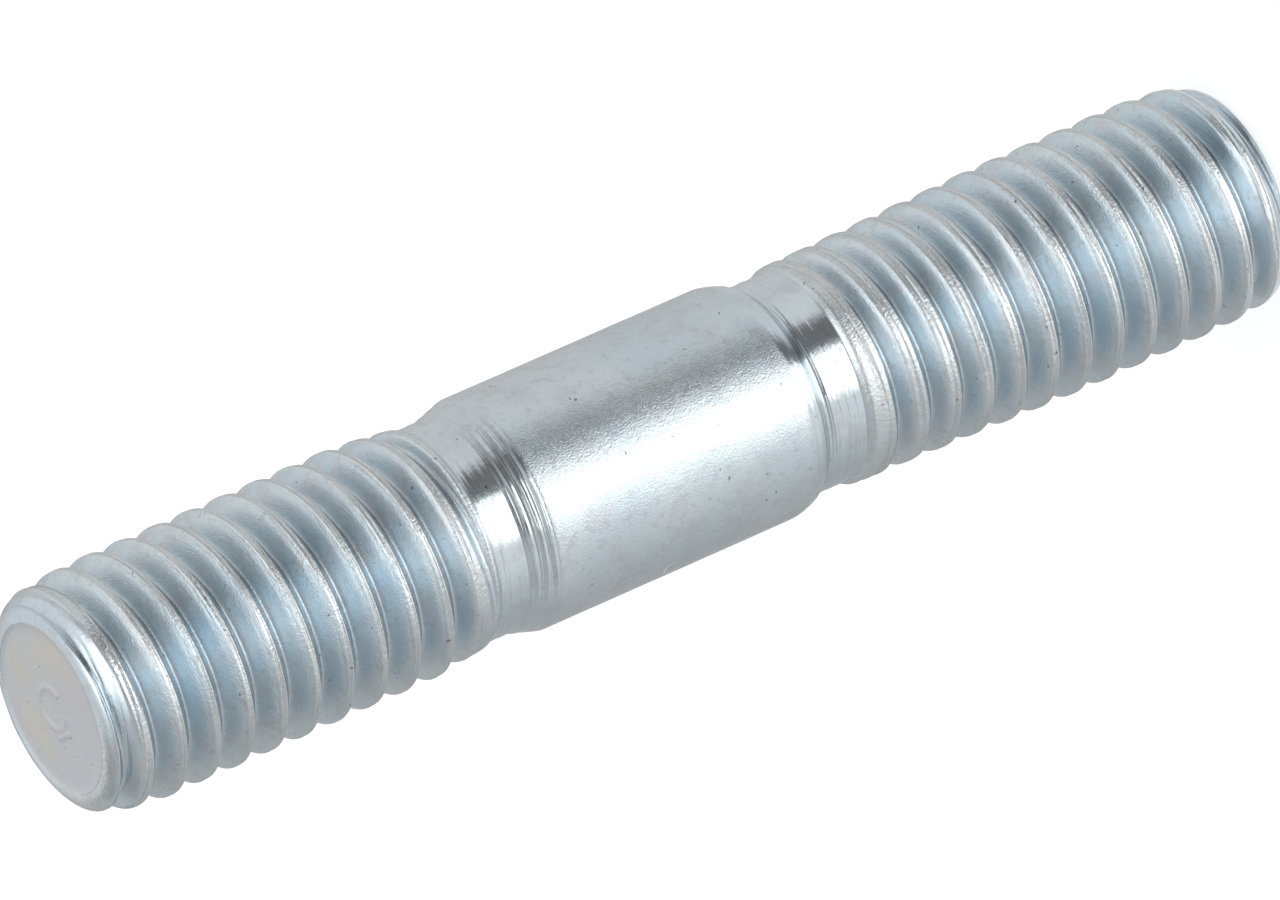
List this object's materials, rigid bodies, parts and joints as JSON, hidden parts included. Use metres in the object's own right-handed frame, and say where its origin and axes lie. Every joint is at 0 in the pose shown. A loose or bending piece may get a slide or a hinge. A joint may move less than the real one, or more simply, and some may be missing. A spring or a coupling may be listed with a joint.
{
  "type": "double ended stud",
  "caption": "Metric double ended stud: a steel rod with a rolled right-hand coarse thread on each end and a plain shank between them.",
  "frame": {"origin": "centre of the flat end face of the longer thread, which the stud stands on", "axes": "+Z along the stud's axis, from the longer thread up to the shorter thread; X and Y are square to it"},
  "size_m": [0.008, 0.008, 0.045],
  "materials": {
    "zinc_plated_steel": "zinc plated, clear to blue passivated, satin"
  },
  "bodies": {
    "root": {"stud": "zinc_plated_steel"}
  },
  "joints": []
}
